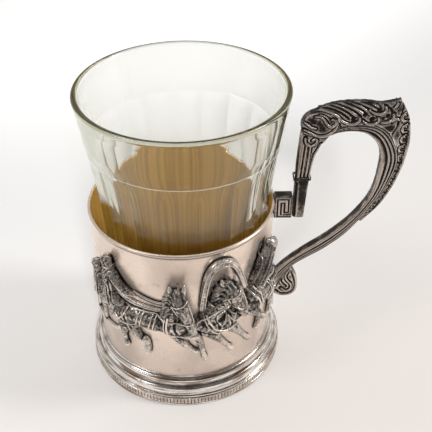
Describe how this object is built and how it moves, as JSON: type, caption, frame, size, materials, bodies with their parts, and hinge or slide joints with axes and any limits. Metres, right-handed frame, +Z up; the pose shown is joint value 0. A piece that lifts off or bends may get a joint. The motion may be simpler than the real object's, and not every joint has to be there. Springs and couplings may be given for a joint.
{
  "type": "tea glass holder",
  "caption": "Metal tea glass holder with a stepped foot, a cast scroll handle and a sleigh and horses in relief, with the faceted tea glass that stands in it.",
  "frame": {"origin": "on the axis of the round wall, at table level, in the middle of the flat underside of the foot", "axes": "+Z up; +X from the axis towards the handle; the relief of horses faces -Y"},
  "size_m": [0.1172, 0.0777, 0.115],
  "materials": {
    "polished_silver": "polished silver plate with a fine handling haze",
    "oxidised_silver": "silver plate, dark in the hollows and bright on the edges",
    "gilt": "gilt wash, as inside the wall",
    "clear_glass": "clear pressed glass, polished"
  },
  "bodies": {
    "holder": {"sleeve": "polished_silver", "rim_bead": "polished_silver", "foot_shell": "polished_silver", "base_plate": "polished_silver", "foot_strip": "oxidised_silver", "handle_arm": "oxidised_silver", "handle_head": "oxidised_silver", "handle_strut": "oxidised_silver", "thumb_shell": "oxidised_silver", "leaf_border": "oxidised_silver", "strut_collar": "oxidised_silver", "key_block": "oxidised_silver", "lower_scroll": "oxidised_silver", "left_horse": "oxidised_silver", "centre_horse": "oxidised_silver", "shaft_bow": "oxidised_silver", "right_horse": "oxidised_silver", "sleigh_shaft": "oxidised_silver", "reins": "oxidised_silver", "driver": "oxidised_silver", "passenger": "oxidised_silver", "sleigh": "oxidised_silver", "floor_disc": "gilt"},
    "glass": {"tea_glass": "clear_glass"}
  },
  "joints": [
    {"name": "glass_lift", "type": "slide", "parent": "holder", "child": "glass", "axis": [0, 0, 1], "range_m": [0, 0.07]}
  ]
}
